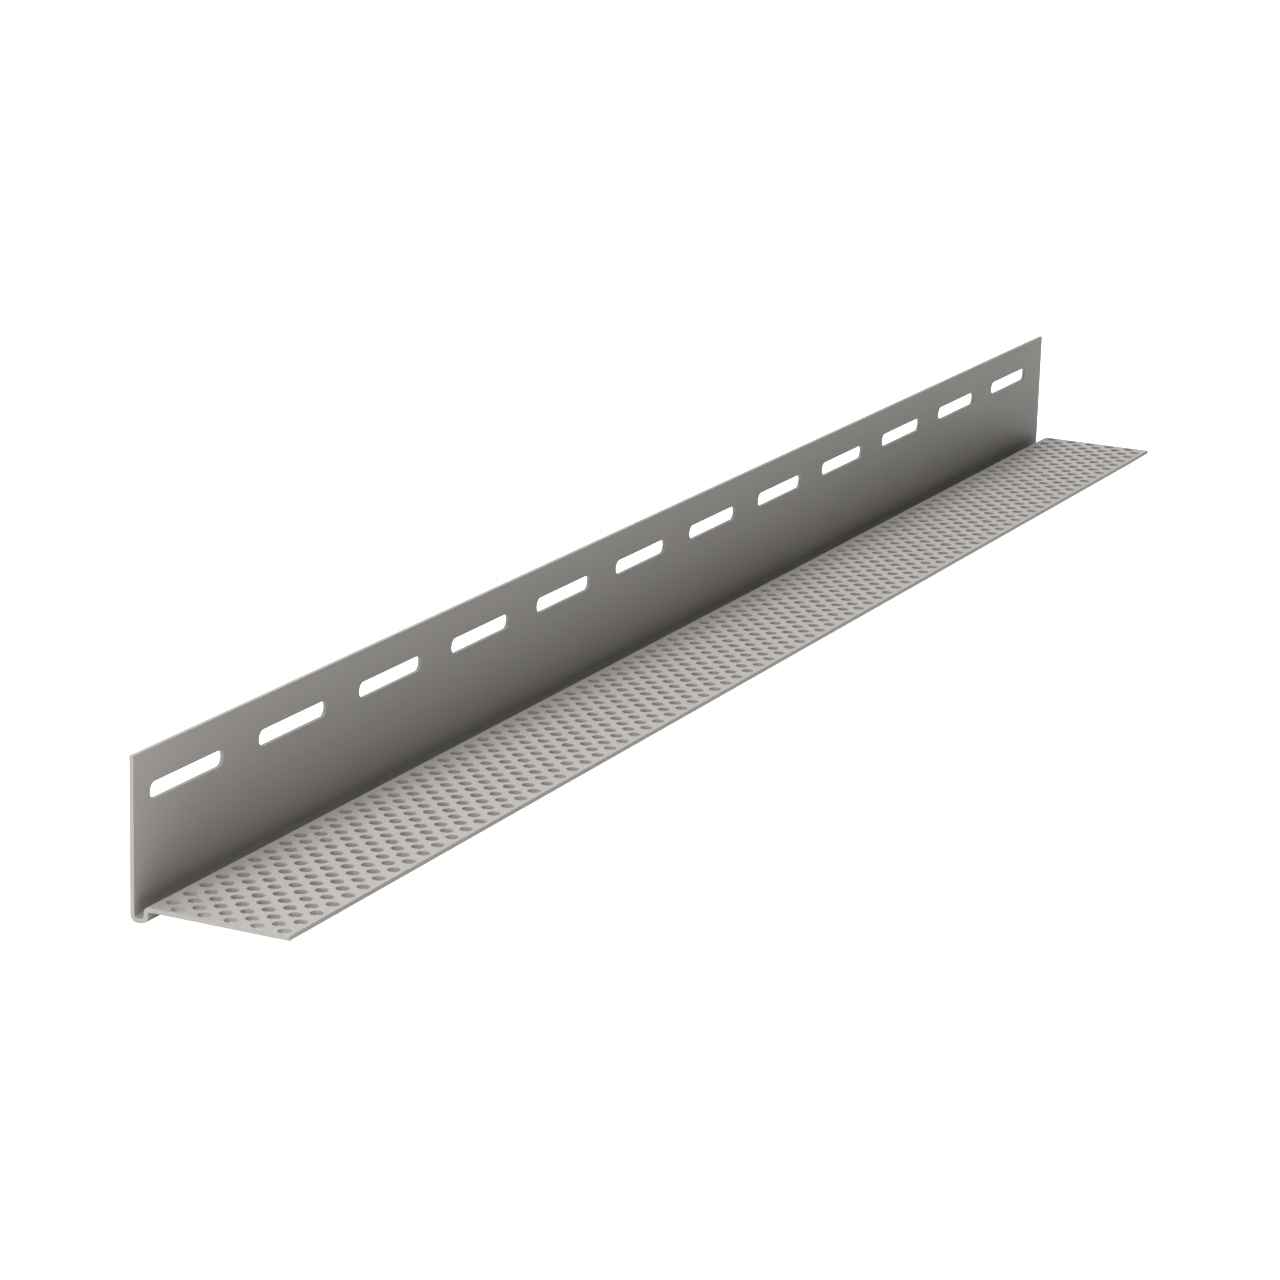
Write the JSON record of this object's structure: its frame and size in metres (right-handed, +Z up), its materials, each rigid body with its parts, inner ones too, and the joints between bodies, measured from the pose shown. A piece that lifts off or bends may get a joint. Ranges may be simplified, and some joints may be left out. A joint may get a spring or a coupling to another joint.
{
  "type": "ventilation strip",
  "caption": "L-shaped ventilation strip: a slotted leg for fixing, a small drip groove along its foot and a perforated leg that lets air through an outer wall's gap.",
  "frame": {"origin": "on the back face at mid-length, level with the top of the perforated leg", "axes": "+X along the strip, +Y out of the back face into the wall behind, +Z up the slotted leg"},
  "size_m": [0.6066, 0.0448, 0.0422],
  "materials": {
    "strip": "smooth matt light warm grey, rigid extruded plastic"
  },
  "bodies": {
    "root": {"ventilation_strip": "strip"}
  },
  "joints": []
}
